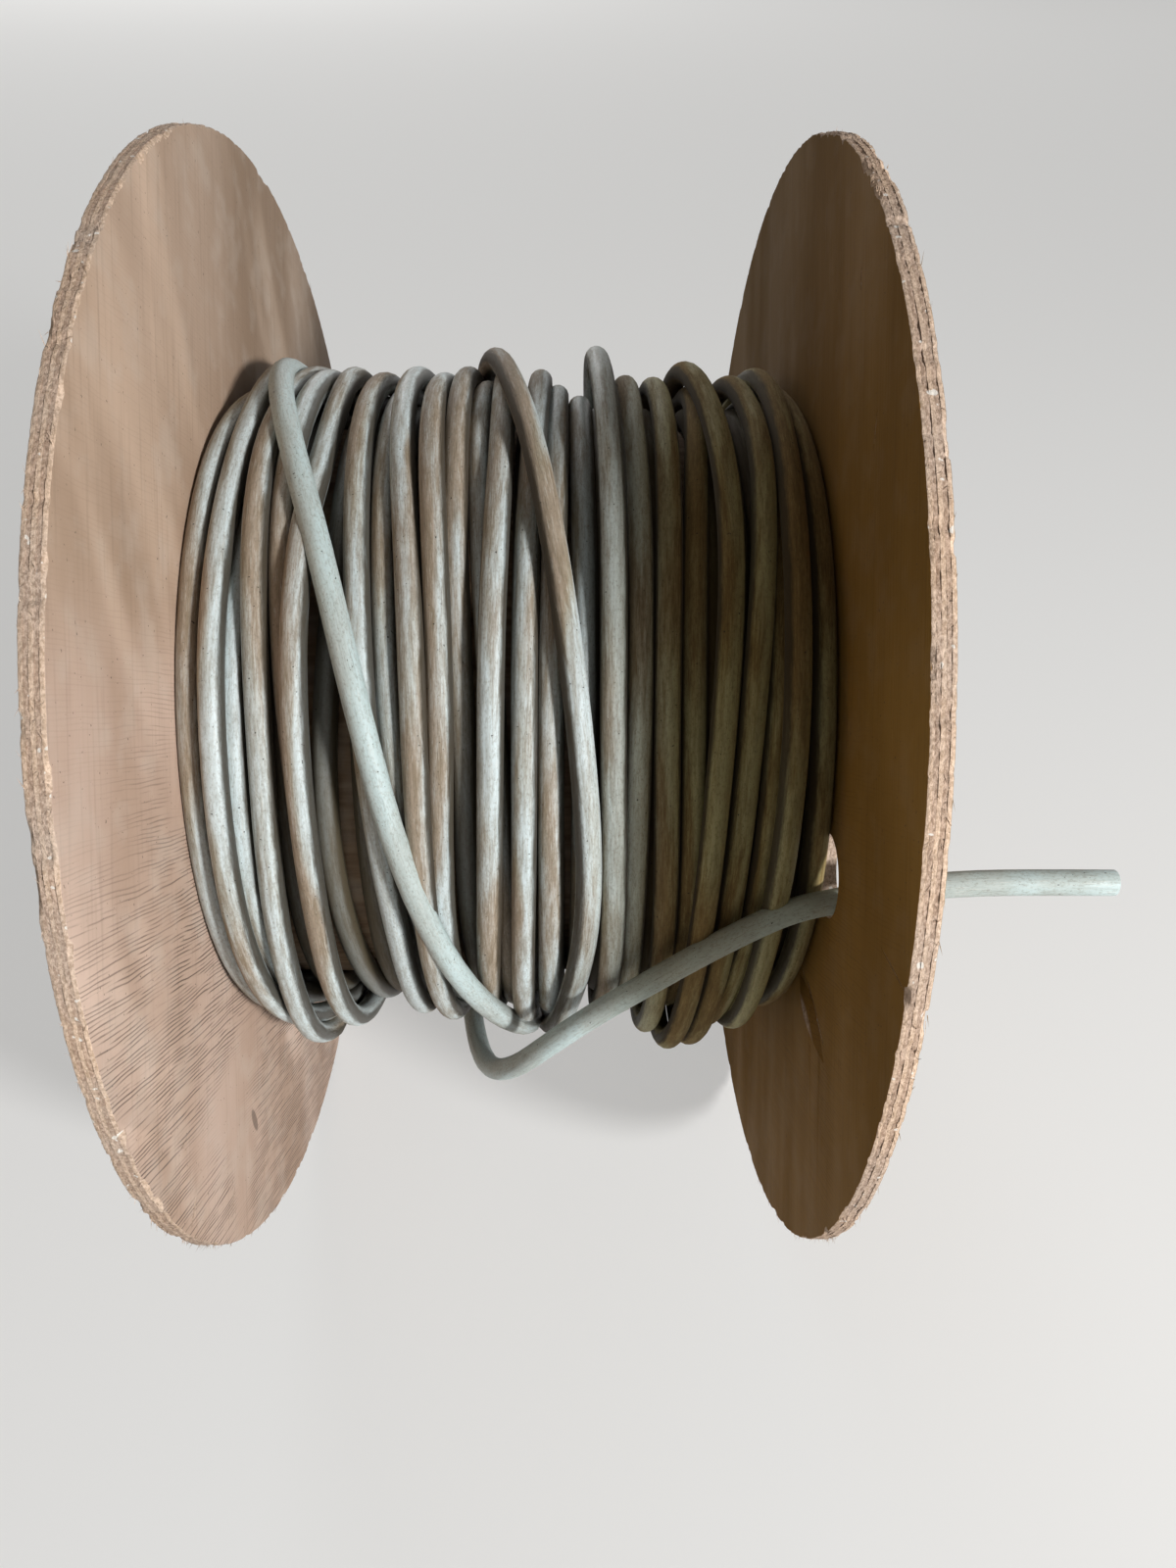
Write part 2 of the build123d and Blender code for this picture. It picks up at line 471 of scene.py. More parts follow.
def turn_faces_out():
    """Turn every face of the active object outwards."""
    bpy.ops.object.mode_set(mode="EDIT")
    bpy.ops.mesh.select_all(action="SELECT")
    bpy.ops.mesh.normals_make_consistent(inside=False)
    bpy.ops.object.mode_set(mode="OBJECT")


def ply_disc(name, side):
    """A round board at one end of the drum, extruded outwards from its inner face ply by ply."""
    bpy.ops.object.select_all(action="DESELECT")
    bpy.ops.mesh.primitive_circle_add(
        vertices=rim_points, radius=flange_radius, fill_type="NGON",
        location=(side * inner_face, 0, axle_height), rotation=(0, math.pi / 2, 0),
    )
    disc = bpy.context.object
    disc.name = disc.data.name = name
    bpy.ops.object.transform_apply(location=True, rotation=True, scale=True)
    bpy.ops.object.mode_set(mode="EDIT")
    bpy.ops.mesh.select_all(action="SELECT")
    half_ply = (flange_thickness - (ply_count - 1) * glue_line) / ply_count / 2
    for ply in range(ply_count):
        runs = (half_ply, half_ply, glue_line) if ply < ply_count - 1 else (half_ply, half_ply)
        for run in runs:
            bpy.ops.mesh.extrude_region_move(TRANSFORM_OT_translate={"value": (side * run, 0, 0)})
    turn_faces_out()
    return disc


left_disc = ply_disc("left_board", -1)
right_disc = ply_disc("right_board", 1)
print(len(left_disc.data.vertices), "points in a disc")

# %% [markdown]
# The rim's wear is noise at several scales: fur of a millimetre or two, waves of the saw, dents that go
# through all plies, and chips where a wide noise passes a threshold. The face plies chip most. A few
# large chips are listed, where the photograph shows them.

# %% How much a rim is worn
# side, ply counted from the inner face, degrees up from the front, half length in degrees, depth in mm
chosen_chips = [
    (-1, 0, 1.6, 0.8, 3.5), (-1, 0, 83.5, 0.9, 3.0), (-1, 0, -9, 1.4, 2.2), (-1, 4, 24, 1.8, 2.0),
    (-1, 0, 31, 1.1, 1.8), (1, 0, 80, 0.5, 2.5), (1, 0, 92, 0.4, 2.0), (1, 4, -73, 1.6, 4.0),
    (1, 0, 15.3, 0.6, 3.0), (1, 4, 13, 1.0, 2.5), (1, 4, 46, 0.7, 2.0), (1, 0, -20, 0.8, 2.5),
]
fur_width, saw_width, dent_width, chip_width = 1.6 * mm, 7 * mm, 8 * mm, 22 * mm


def rim_loss(side, ply, angle):
    """How much a ply's edge is worn away at an angle, and how much more where it is chipped, in mm."""
    around = Vector((math.cos(angle), math.sin(angle), 0)) * flange_radius
    ply_place = Vector((0, 0, 0.7 * ply + 3 * side))
    fur = noise.noise(around / fur_width + ply_place)
    saw = noise.noise(around / saw_width + ply_place)
    wide = noise.noise(around / chip_width + 7 * ply_place)
    dent = noise.noise(around / dent_width + Vector((5, 5, side)))
    dent = min(1, max(0, (dent - 0.22) / 0.2))
    # The whole edge is rubbed, dents go deeper, and every other ply loses a little more.
    loss = 0.55 + 0.4 * fur + 0.3 * saw + 0.9 * dent + (0.15 if ply % 2 else 0)
    chip = min(1, max(0, (wide - 0.26) / 0.15))
    return loss, chip * (1.4 + 0.8 * fur + 0.7 * saw)


def chosen_chip(side, ply, angle):
    """The depth of the chip chosen for this place in mm, or 0."""
    deepest = 0
    for chip_side, chip_ply, chip_angle, half_length, chip_depth in chosen_chips:
        off = abs((math.degrees(angle) - chip_angle + 180) % 360 - 180) / half_length
        if chip_side == side and chip_ply == ply and off < 1:
            deepest = max(deepest, chip_depth * min(1, 2.5 * (1 - off)))
    return deepest


print("at the front the left board's inner ply loses", round(rim_loss(-1, 0, 0)[0], 2), "mm")

# %% [markdown]
# Each point of a disc is then moved towards the axle by what its ply loses at its angle. A chip is deepest
# in the face plies and runs out towards the middle of the board.


# %% Wear of the rims
def wear_rim(disc, side):
    """Move each point of a disc inwards by the wear at its place."""
    losses = []
    for vertex in disc.data.vertices:
        depth = abs(vertex.co.x) - inner_face
        ply = min(int(depth / ply_thickness), ply_count - 1)
        out = Vector((0, vertex.co.y, vertex.co.z - axle_height))
        angle = math.atan2(out.z, -out.y)
        loss, chip = rim_loss(side, ply, angle)
        chip = max(chip, chosen_chip(side, ply, angle))
        from_face = min(depth, flange_thickness - depth) / ply_thickness
        loss += chip * max(0, 1 - 0.75 * from_face) + (0.3 if from_face < 0.05 else 0)
        vertex.co -= out.normalized() * max(loss, 0) * mm
        losses.append(loss)
    print(disc.name, "rim worn by", round(min(losses), 2), "to", round(max(losses), 2), "mm")


wear_rim(left_disc, -1)
wear_rim(right_disc, 1)

# %% [markdown]
# Holes, the barrel's groove, gouges and splits are all cut in one Boolean. The cutters are plain
# primitives, and none of their faces lies on a face of the board, because a Boolean couldn't tell there
# what is inside. Cylinders, much longer than the board is thick, cut the holes. A flat ring, extruded
# along the axle, cuts the groove that the barrel sits in.

# %% Cutters for the holes and the groove
spindle_hole_radius = 28 * mm
rod_hole_radius = 5.5 * mm
rod_reach = 127.5 * mm
rod_count = 4
exit_hole_radius = 20 * mm
exit_hole_place = (-176.5 * mm, 329.5 * mm)  # across and up
groove_depth = 3 * mm
groove_outside = barrel_radius + 0.25 * mm
groove_inside = barrel_radius - 8.25 * mm


def round_cutter(side, across, up, radius, sides):
    """A cylinder along the axle, right through a board."""
    bpy.ops.mesh.primitive_cylinder_add(
        vertices=sides, radius=radius, depth=4 * flange_thickness,
        location=(side * (inner_face + outer_face) / 2, across, up), rotation=(0, math.pi / 2, 0),
    )
    return bpy.context.object


def groove_cutter(side):
    """A ring that reaches from just outside the board to the groove's floor."""
    bpy.ops.mesh.primitive_circle_add(
        vertices=128, radius=groove_outside, fill_type="NOTHING",
        location=(side * (inner_face - mm), 0, axle_height), rotation=(0, math.pi / 2, 0),
    )
    bpy.ops.object.mode_set(mode="EDIT")
    bpy.ops.mesh.select_all(action="SELECT")
    bpy.ops.mesh.extrude_region_move()
    shrink = groove_inside / groove_outside
    bpy.ops.transform.resize(value=(1, shrink, shrink), center_override=(side * inner_face, 0, axle_height))
    bpy.ops.mesh.select_all(action="SELECT")
    bpy.ops.mesh.extrude_region_move(TRANSFORM_OT_translate={"value": (side * (groove_depth + mm), 0, 0)})
    turn_faces_out()
    return bpy.context.object


def hole_cutters(side):
    """Cutters for a board's holes and its groove. Only the right board has the hole for the cable."""
    cutters = [round_cutter(side, 0, axle_height, spindle_hole_radius, sides=96), groove_cutter(side)]
    for rod in range(rod_count):
        turned = math.radians(45 + 360 * rod / rod_count)
        across, up = rod_reach * math.cos(turned), axle_height + rod_reach * math.sin(turned)
        cutters.append(round_cutter(side, across, up, rod_hole_radius, sides=32))
    if side > 0:
        cutters.append(round_cutter(side, *exit_hole_place, exit_hole_radius, sides=64))
    return cutters


print("the groove is", round((groove_outside - groove_inside) / mm, 2), "mm wide")

# %% [markdown]
# Gouges and splits are cut by stretched balls, sunk in the inner face at a slant. A stretched ball leaves
# a boat-shaped hollow, as a blow or a split does, and a little noise makes its edge ragged. Plain noise is
# the same on every run, but noise_vector starts from the clock, so it is given a seed.

# %% Cutters for the gouges
# side, middle across and up, length, width and depth in mm, degrees that it is turned
gouges = [
    (-1, -274, 210, 15, 2.6, 1.7, 23), (-1, -239, 157, 15, 1.4, 1.2, 30), (-1, -196, 115, 12, 1.3, 1.2, 40),
    (-1, -262, 246, 9, 0.6, 0.6, -20), (1, -200, 259.5, 46, 2.6, 1.6, -4), (1, -172, 254, 10, 1.2, 1.2, 4),
    (1, -272, 374, 34, 0.6, 1.2, -18), (1, -120, 520, 16, 0.8, 0.7, 75), (1, -60, 560, 9, 1.2, 0.9, 60),
]
ragged_share = 0.25  # of a gouge's width
ragged_grains = 400  # a metre
ragged_seed = 1
noise.seed_set(ragged_seed)


def gouge_cutter(side, across, up, length, width, depth, turn):
    """A stretched ball on the inner face, with ragged sides."""
    bpy.ops.mesh.primitive_ico_sphere_add(
        subdivisions=3, radius=1, location=(side * inner_face, across * mm, up * mm),
        rotation=(math.radians(turn), 0, 0), scale=(depth * mm, length * mm / 2, width * mm / 2),
    )
    ball = bpy.context.object
    bpy.ops.object.transform_apply(location=True, rotation=True, scale=True)
    for vertex in ball.data.vertices:
        vertex.co += noise.noise_vector(vertex.co * ragged_grains) * ragged_share * width * mm
    return ball


print(len(gouges), "gouges, the longest", max(gouge[3] for gouge in gouges), "mm")

# %% [markdown]
# The cutters of a board are joined to one object, and a Boolean modifier takes it away from the disc. The
# modifier is applied and the cutters are removed, so the board is a plain mesh again.


# %% Cutting the boards
def select_only(active, *others):
    """Select these objects and no others, and make the first one active."""
    bpy.ops.object.select_all(action="DESELECT")
    for piece in (active, *others):
        piece.select_set(True)
    bpy.context.view_layer.objects.active = active


def cut_board(disc, side):
    """Cut everything that goes into one board at once."""
    bpy.ops.object.select_all(action="DESELECT")
    cutters = hole_cutters(side)
    cutters += [gouge_cutter(*gouge) for gouge in gouges if gouge[0] == side]
    select_only(*cutters)
    bpy.ops.object.join()
    cut = disc.modifiers.new("cut", "BOOLEAN")
    cut.operation = "DIFFERENCE"
    cut.solver = "EXACT"
    cut.object = cutters[0]
    select_only(disc)
    bpy.ops.object.modifier_apply(modifier="cut")
    bpy.data.objects.remove(cutters[0])
    print(disc.name, "cut,", len(disc.data.polygons), "faces")


cut_board(left_disc, -1)
cut_board(right_disc, 1)

# %% [markdown]
# Low on the right board a long flake of the face veneer has sprung up: its upper edge still lies in its
# split, and its lower edge stands off, most in the middle. It is a strip of a few cross-sections, and
# its width and its lift both follow half a sine wave, so it runs out to nothing at both ends.

# %% The sprung flake
flake_thickness = 0.7 * mm
flake_stand_off = 0.1 * mm  # how far all of its front stands off the board's inner face
end_share = 0.02  # what is left of its width and lift at both ends


def join_bits(disc, name, points, faces):
    """Make a mesh of points and faces and join it to a board, with its faces turned outwards."""
    bits = mesh_piece(name, points, faces)
    select_only(bits)
    turn_faces_out()
    select_only(disc, bits)
    bpy.ops.object.join()


def add_flake(disc, foot, tip, width, lift, sections=16):
    """Join a sprung flake of veneer to a board, between two places on its inner face."""
    points, faces = [], []
    line = tip - foot
    upwards = Vector((0, line.z, -line.y)).normalized()
    thickness = Vector((flake_thickness, 0, 0))
    for section in range(sections + 1):
        arch = math.sin(math.pi * section / sections) + end_share
        middle = foot + line * section / sections
        low_edge = middle - Vector((lift * arch, 0, 0))
        high_edge = middle + upwards * width * arch
        points += [low_edge, high_edge, high_edge + thickness, low_edge + thickness]
    for ring in range(0, 4 * sections, 4):
        for side in range(4):
            after = (side + 1) % 4
            faces.append((ring + side, ring + after, ring + after + 4, ring + side + 4))
    faces += [(3, 2, 1, 0), tuple(range(4 * sections, 4 * sections + 4))]
    join_bits(disc, "flake", points, faces)
    print("flake of", round(line.length / mm), "mm on", disc.name)


flake_foot = Vector((inner_face - flake_stand_off, -167 * mm, 247.5 * mm))
flake_tip = Vector((inner_face - flake_stand_off, -227 * mm, 254.5 * mm))
add_flake(right_disc, flake_foot, flake_tip, width=8 * mm, lift=3.6 * mm)

# %% [markdown]
# Torn fibres stand on the rim like hairs. Each is a thin pyramid of four faces, so some hundreds of them
# cost next to nothing. They start just under the rim, lean along it and lift a little, and they are kept
# inside the drum's outer box. Most are on the lower front, where the rim is rubbed.

# %% Fibres on the rims
fibre_count = 420
fibre_depths = (0.2, 0.5, 1.8, 3.6, 5.4, 7.2, 8.5, 8.8)  # mm: near both faces and at the glue lines
most_fibres_at, fibre_spread = -35, 70  # degrees up from the front
under_rim = 1.1 * mm


def add_fibres(disc, side, seed):
    """Join thin pyramids to the rim of a board."""
    chance = random.Random(seed)
    points, faces = [], []
    for _ in range(fibre_count):
        angle = math.radians(chance.gauss(most_fibres_at, fibre_spread))
        out = Vector((0, -math.cos(angle), math.sin(angle)))
        along = Vector((0, math.sin(angle), math.cos(angle))) * chance.choice((-1, 1))
        depth = chance.choice(fibre_depths) * mm
        foot = Vector((side * (inner_face + depth), 0, axle_height)) + out * (flange_radius - under_rim)
        length = chance.uniform(1.5, 6) * mm
        lean = out * chance.uniform(0.25, 0.9) + along + Vector((chance.uniform(-0.35, 0.35), 0, 0))
        tip = foot + lean.normalized() * length + out * 0.5 * mm
        tip.y = min(max(tip.y, -flange_radius), flange_radius)
        tip.z = min(max(tip.z, 0.1 * mm), 2 * flange_radius)
        tip.x = side * min(max(abs(tip.x), inner_face - 2 * mm), outer_face + 2 * mm)
        width = chance.uniform(0.1, 0.28) * mm
        first = len(points)
        points += [foot + along * width, foot - along * width, foot + Vector((width * 1.6, 0, 0)), tip]
        faces += [(first, first + 1, first + 2), (first, first + 3, first + 1)]
        faces += [(first + 1, first + 3, first + 2), (first + 2, first + 3, first)]
    join_bits(disc, "fibres", points, faces)
    bpy.ops.object.shade_smooth_by_angle(angle=math.radians(35))
    print(disc.name, "has", fibre_count, "fibres")


add_fibres(left_disc, -1, seed=3)
add_fibres(right_disc, 1, seed=8)
for disc, node_name in ((left_disc, "left_flange"), (right_disc, "right_flange")):
    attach(disc, "root")
    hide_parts(node_name)

# %% [markdown]
# ## Tools for the materials
#
# Every finish here is a network of shader nodes. It could be wired by hand in the shader editor, node by
# node. A few small helpers write the same network down so that it can be read: one adds a node and links
# or sets its inputs, and the others add what turns up everywhere, sums and products first.


# %% Nodes, sums and products
def add_node(tree, kind, inputs=None, **options):
    """Add a node, set its options, and link or set its inputs by name or number."""
    made = tree.nodes.new(kind)
    for option, value in options.items():
        setattr(made, option, value)
    for socket, value in (inputs or {}).items():
        if isinstance(value, bpy.types.NodeSocket):
            tree.links.new(value, made.inputs[socket])
        else:
            made.inputs[socket].default_value = value
    return made


def work_out(tree, operation, first, second=0.0):
    """Work out a number from one or two others."""
    return add_node(tree, "ShaderNodeMath", {0: first, 1: second}, operation=operation).outputs[0]


def plus(tree, first, second):
    return work_out(tree, "ADD", first, second)


def times(tree, first, second):
    return work_out(tree, "MULTIPLY", first, second)


# %% [markdown]
# A pattern starts from a place on the piece. Its parts give heights and depths, and noise gives cloudy
# numbers between 0 and 1. Where the place is stretched first, the noise has long grains instead of round
# ones. A soft step then turns such numbers into a mask with a blurred edge.


# %% Places, soft steps and noise
def vector_math(tree, operation, first, second=(0, 0, 0)):
    """Work out a vector, or a number where the operation gives one."""
    made = add_node(tree, "ShaderNodeVectorMath", {0: first, 1: second}, operation=operation)
    return made.outputs["Value" if operation in ("DOT_PRODUCT", "LENGTH", "DISTANCE") else "Vector"]


def parts(tree, place):
    """The X, Y and Z of a place, as three sockets."""
    return add_node(tree, "ShaderNodeSeparateXYZ", {0: place}).outputs


def threshold(tree, value, low, high, to_low=0.0, to_high=1.0):
    """A soft step between two values."""
    inputs = {"Value": value, "From Min": low, "From Max": high, "To Min": to_low, "To Max": to_high}
    return add_node(tree, "ShaderNodeMapRange", inputs, interpolation_type="SMOOTHSTEP").outputs[0]


def stretched_noise(tree, place, stretch, detail=2.0, roughness=0.5):
    """Noise whose grains are as many a metre in each direction as stretch says."""
    scaled = vector_math(tree, "MULTIPLY", place, stretch)
    inputs = {"Vector": scaled, "Scale": 1.0, "Detail": detail, "Roughness": roughness}
    return add_node(tree, "ShaderNodeTexNoise", inputs).outputs["Fac"]


# %% [markdown]
# ## Grain and grime
#
# Two effects are used by more than one finish, so each is a node group. Grain gives the broad streaks of
# peeled veneer, the fine pores along it, and the short dark checks that cross a dry face. Grime gives
# loose dust and dark specks.

# %% The grain group
grain_turn = math.radians(36)
check_spacing = 1.9 * mm


def new_group(name, outputs):
    """A shader node group that takes a place and gives the named numbers."""
    tree = bpy.data.node_groups.new(name, "ShaderNodeTree")
    tree.interface.new_socket("Place", in_out="INPUT", socket_type="NodeSocketVector")
    for socket_name in outputs:
        tree.interface.new_socket(socket_name, in_out="OUTPUT", socket_type="NodeSocketFloat")
    return tree, tree.nodes.new("NodeGroupInput").outputs["Place"]


def give_out(tree, results):
    """Link what a group has worked out to its outputs."""
    group_out = tree.nodes.new("NodeGroupOutput")
    for socket, value in results.items():
        tree.links.new(value, group_out.inputs[socket])
    print("group", tree.name, "with", len(tree.nodes), "nodes")


grain, place = new_group("veneer_grain", ("Streaks", "Pores", "Checks"))
mapping = add_node(grain, "ShaderNodeMapping", {"Vector": place, "Rotation": (grain_turn, 0, 0)})
turned_place = mapping.outputs[0]
streaks = stretched_noise(grain, turned_place, (20, 15, 3.0), 3.0)
pores = stretched_noise(grain, turned_place, (300, 420, 14), 3.0)
wander = stretched_noise(grain, turned_place, (20, 16, 60), 2.0)
phase = work_out(grain, "DIVIDE", parts(grain, turned_place)["Z"], check_spacing)
phase = plus(grain, phase, times(grain, wander, 3.0))
lines = threshold(grain, work_out(grain, "PINGPONG", phase, 0.5), 0.06, 0.24, 1.0, 0.0)
broken = threshold(grain, stretched_noise(grain, turned_place, (60, 26, 420), 2.0), 0.38, 0.56)
give_out(grain, {"Streaks": streaks, "Pores": pores, "Checks": times(grain, lines, broken)})

# %% The grime group
grime, place = new_group("grime", ("Dust", "Specks"))
dust = threshold(grime, stretched_noise(grime, place, (45, 45, 45), 5.0), 0.45, 0.7)
specks = threshold(grime, stretched_noise(grime, place, (800, 800, 800), 0.0), 0.82, 0.86)
give_out(grime, {"Dust": dust, "Specks": specks})

# %% [markdown]
# ## Plywood
#
# The board's colour depends on how deep in it a point lies, and that is its distance along X from the
# inner face. On the faces it is stained veneer. Anywhere deeper, on the rim, in a chip or in a gouge, it
# is raw wood, and the plies alternate light and dark with a dark line of glue between them. What stands
# well off the inner face, such as the flake's raised edge, is raw wood too. One material does it all, so
# every new cut shows fresh wood by itself.

# %% The board's depth
depth_group, place = new_group("ply_depth", ("Raw", "Dark ply", "Glue"))
from_middle = work_out(depth_group, "ABSOLUTE", parts(depth_group, place)["X"])
deep = work_out(depth_group, "SUBTRACT", from_middle, inner_face)
plies_deep = work_out(depth_group, "DIVIDE", deep, ply_thickness)
under_face = threshold(depth_group, plies_deep, 0.04, 0.09)
under_back = threshold(depth_group, plies_deep, ply_count - 0.09, ply_count - 0.04, 1.0, 0.0)
lifted = threshold(depth_group, plies_deep, -1.7, -1.2, 1.0, 0.0)
raw = times(depth_group, plus(depth_group, under_face, lifted), under_back)
dark_ply = work_out(depth_group, "MODULO", work_out(depth_group, "FLOOR", plies_deep), 2.0)
into_ply = work_out(depth_group, "PINGPONG", plies_deep, 0.5)
glue = threshold(depth_group, into_ply, 0.02, 0.1, 1.0, 0.0)
give_out(depth_group, {"Raw": raw, "Dark ply": dark_ply, "Glue": glue})

# %% [markdown]
# The face veneer is painted in layers, each a mask and a colour. First come the streaks between a light
# and a dark tone, then pale patches and dark pores. Then painted shade makes the board darker and greyer
# towards its top, its back and the floor.


# %% Veneer on the faces
def blend(tree, share, first, second, blend_type="MIX"):
    """Blend two colours, each a socket or red, green and blue."""
    inputs = {0: share, 6: first, 7: second}
    for socket in (6, 7):
        if not isinstance(inputs[socket], bpy.types.NodeSocket):
            inputs[socket] = (*inputs[socket], 1)
    return add_node(tree, "ShaderNodeMix", inputs, data_type="RGBA", blend_type=blend_type).outputs[2]


def darker(tone, share):
    """A colour with only a share of its light."""
    return tuple(share * part for part in tone)


def stained_face(tree, place, veneer, light_tone, dark_tone, patch_strength):
    """The colour of the face veneer, with painted shade towards its top, its back and the floor."""
    face = blend(tree, threshold(tree, veneer["Streaks"], 0.3, 0.7), light_tone, dark_tone)
    patches = stretched_noise(tree, place, (9, 16, 5), 2.0)
    patches = threshold(tree, patches, 0.48, 0.7, 0.0, patch_strength)
    face = blend(tree, patches, face, tuple(min(1, 1.22 * part + 0.05) for part in light_tone))
    pores = threshold(tree, veneer["Pores"], 0.5, 0.75, 0.0, 0.25)
    face = blend(tree, pores, face, darker(dark_tone, 0.6))

    # Painted shade: darker towards the top and back of the board, and towards the floor.
    up_and_back_shade = vector_math(tree, "DOT_PRODUCT", place, (0, 0.59, 0.81))
    up_and_back_shade = plus(tree, up_and_back_shade, times(tree, veneer["Streaks"], 0.04))
    face = blend(tree, threshold(tree, up_and_back_shade, 0.25, 0.32), face, (0.78, 0.76, 0.69), "MULTIPLY")
    back = plus(tree, parts(tree, place)["Y"], times(tree, veneer["Streaks"], 0.1))
    back = threshold(tree, back, 0.0, 0.22, 0.0, 0.8)
    face = blend(tree, back, face, (0.74, 0.76, 0.76), "MULTIPLY")
    floor_shade = threshold(tree, parts(tree, place)["Z"], 0.03, 0.13, 0.6, 0.0)
    return blend(tree, floor_shade, face, (0.8, 0.79, 0.78), "MULTIPLY")


def checks_in_face(tree, place, veneer, strength):
    """Where dark checks cross the veneer: in patches, and mostly low on the board."""
    low_part = threshold(tree, parts(tree, place)["Z"], 0.3, 0.46, 1.0, 0.08)
    patchy = threshold(tree, stretched_noise(tree, place, (12, 12, 12), 1.0), 0.3, 0.5)
    checks = times(tree, times(tree, veneer["Checks"], low_part), patchy)
    return times(tree, checks, strength)


# %% [markdown]
# A knot is an oval spot with a pale ring round it. The distance from its middle is squeezed, so that it
# is longer up the board than across it.
#
# Raw wood is furry: it flickers between two tones, and the plies alternate between a lighter pair and a
# darker pair. Over that come the glue lines, grey stains, a shade towards the floor and flecks of paint.


# %% Knot and raw wood
def with_knot(tree, place, face, knot, light_tone, dark_tone):
    """The face veneer with a knot in it."""
    squeezed = vector_math(tree, "MULTIPLY", vector_math(tree, "SUBTRACT", place, knot), (400, 290, 100))
    reach = vector_math(tree, "LENGTH", squeezed)
    face = blend(tree, threshold(tree, reach, 1.0, 3.2, 0.45, 0.0), face, light_tone)
    return blend(tree, threshold(tree, reach, 0.75, 1.05, 0.75, 0.0), face, darker(dark_tone, 0.35))


def raw_plies(tree, place, plies, fuzz):
    """The colour of sawn, chipped or torn wood."""
    fuzz_step = threshold(tree, fuzz, 0.35, 0.65)
    raw_light = blend(tree, fuzz_step, (0.8, 0.6, 0.45), (0.5, 0.35, 0.24))
    raw_dark = blend(tree, fuzz_step, (0.62, 0.45, 0.34), (0.34, 0.23, 0.16))
    wood = blend(tree, plies["Dark ply"], raw_light, raw_dark)
    wood = blend(tree, times(tree, plies["Glue"], 0.42), wood, (0.1, 0.06, 0.035))
    stains = threshold(tree, stretched_noise(tree, place, (14, 14, 14), 3.0), 0.42, 0.62, 0.05, 0.55)
    wood = blend(tree, stains, wood, blend(tree, fuzz_step, (0.64, 0.52, 0.43), (0.32, 0.24, 0.19)))
    # Painted shade: the raw wood is darker towards the floor.
    floor_shade = threshold(tree, parts(tree, place)["Z"], 0.12, 0.4, 0.9, 0.0)
    wood = blend(tree, floor_shade, wood, (0.74, 0.73, 0.73), "MULTIPLY")
    flecks = threshold(tree, stretched_noise(tree, place, (230, 230, 230), 1.0), 0.7, 0.73, 0.0, 0.8)
    return blend(tree, flecks, wood, (0.82, 0.79, 0.73))


# %% [markdown]
# The two boards differ: the left one is pinkish, patchy and full of checks, and the right one is a plain
# ochre, darkened with painted shade because its inner face is turned from the lamp. So one function makes
# both materials, and each board has its own tones.


# %% Plywood for the flanges
def new_material(name):
    """A material, its node tree and its shader."""
    material = bpy.data.materials.new(name)
    material.use_nodes = True
    return material, material.node_tree, material.node_tree.nodes["Principled BSDF"]


def object_place(tree):
    return add_node(tree, "ShaderNodeTexCoord").outputs["Object"]


def from_group(tree, group, place):
    """The results of a node group at a place."""
    return add_node(tree, "ShaderNodeGroup", {"Place": place}, node_tree=group).outputs


def add_bump(tree, shader, height, strength, distance):
    """Let a height show as relief in a shader's normals."""
    bump = add_node(tree, "ShaderNodeBump", {"Height": height, "Strength": strength, "Distance": distance})
    tree.links.new(bump.outputs["Normal"], shader.inputs["Normal"])


def plywood(name, light_tone, dark_tone, check_strength, patch_strength, dust_share, shine, knot=None):
    """Stained veneer on the faces and raw plies wherever the board is cut."""
    material, tree, shader = new_material(name)
    place = object_place(tree)
    veneer = from_group(tree, grain, place)
    plies = from_group(tree, depth_group, place)
    dirt = from_group(tree, grime, place)
    fuzz = stretched_noise(tree, place, (900, 600, 600), 4.0, 0.7)

    face = stained_face(tree, place, veneer, light_tone, dark_tone, patch_strength)
    checks = checks_in_face(tree, place, veneer, check_strength)
    face = blend(tree, checks, face, darker(dark_tone, 0.3))
    if knot:
        face = with_knot(tree, place, face, knot, light_tone, dark_tone)
    colour = blend(tree, plies["Raw"], face, raw_plies(tree, place, plies, fuzz))
    colour = blend(tree, times(tree, dirt["Dust"], dust_share), colour, (0.62, 0.55, 0.48))
    colour = blend(tree, times(tree, dirt["Specks"], 0.7), colour, (0.04, 0.03, 0.02))
    tree.links.new(colour, shader.inputs["Base Color"])

    rough = threshold(tree, veneer["Streaks"], 0.3, 0.7, 0.6, 0.8)
    tree.links.new(work_out(tree, "MAXIMUM", rough, plies["Raw"]), shader.inputs["Roughness"])
    shader.inputs["Specular IOR Level"].default_value = shine
    relief = work_out(tree, "SUBTRACT", veneer["Pores"], times(tree, checks, 1.5))
    relief = plus(tree, relief, times(tree, times(tree, fuzz, plies["Raw"]), 5.0))
    add_bump(tree, shader, relief, 0.6, 0.25 * mm)
    print(name, "with", len(tree.nodes), "nodes")
    return material


knot_place = (-inner_face, -190 * mm, 154.5 * mm)
pinkish_plywood = plywood(
    "pinkish_plywood", (0.535, 0.39, 0.31), (0.42, 0.29, 0.213),
    check_strength=0.95, patch_strength=0.85, dust_share=0.18, shine=0.4, knot=knot_place,
)
# Painted shade: the right board's tones are darkened because its inner face is turned from the lamp.
shade_darkened_ochre_plywood = plywood(
    "shade_darkened_ochre_plywood", (0.26, 0.14, 0.032), (0.2, 0.105, 0.022),
    check_strength=0.2, patch_strength=0.0, dust_share=0.03, shine=0.08,
)
left_disc.data.materials.append(pinkish_plywood)
right_disc.data.materials.append(shade_darkened_ochre_plywood)
